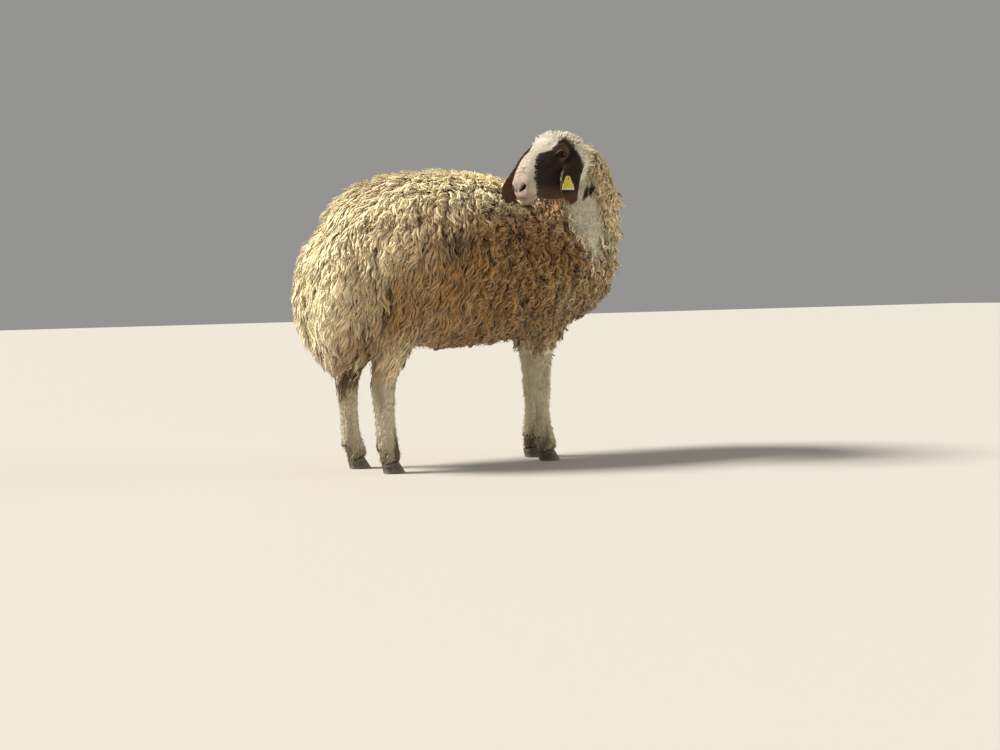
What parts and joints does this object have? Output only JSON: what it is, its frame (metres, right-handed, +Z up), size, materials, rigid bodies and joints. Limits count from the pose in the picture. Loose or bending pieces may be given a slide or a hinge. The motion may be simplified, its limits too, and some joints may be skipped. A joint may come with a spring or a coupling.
{
  "type": "fat-tailed sheep in full fleece, standing and looking back",
  "caption": "Life-size standing sheep in a long cream fleece with a broad fat tail, its brown and white head turned back over the right shoulder, and a yellow tag in its left ear.",
  "frame": {"origin": "on the floor, under the middle of the model's box", "axes": "+X from the tail to the chest, +Y to the animal's own left, +Z up"},
  "size_m": [0.9114, 0.5786, 0.8747],
  "materials": {
    "wool": "matt cream fleece with browner dirt, in long wavy locks",
    "face_hair": "short hair in brown and white patches",
    "white_hair": "short cream-white hair with brown dirt",
    "brown_hair": "short dark chocolate hair",
    "eye": "wet and dark",
    "horn": "dark hoof horn, dry and dusty",
    "tag_plastic": "yellow moulded plastic, a little worn"
  },
  "bodies": {
    "root": {"trunk": "wool", "neck": "wool", "tail": "wool", "head": "face_hair", "front_leg_left": "white_hair", "front_leg_right": "white_hair", "hind_leg_left": "white_hair", "hind_leg_right": "white_hair", "ear_left": "brown_hair", "ear_right": "brown_hair", "eye_left": "eye", "eye_right": "eye", "ear_tag": "tag_plastic", "hoof_front_left_inner": "horn", "hoof_front_left_outer": "horn", "hoof_front_right_inner": "horn", "hoof_front_right_outer": "horn", "hoof_hind_left_inner": "horn", "hoof_hind_left_outer": "horn", "hoof_hind_right_inner": "horn", "hoof_hind_right_outer": "horn"}
  },
  "joints": []
}
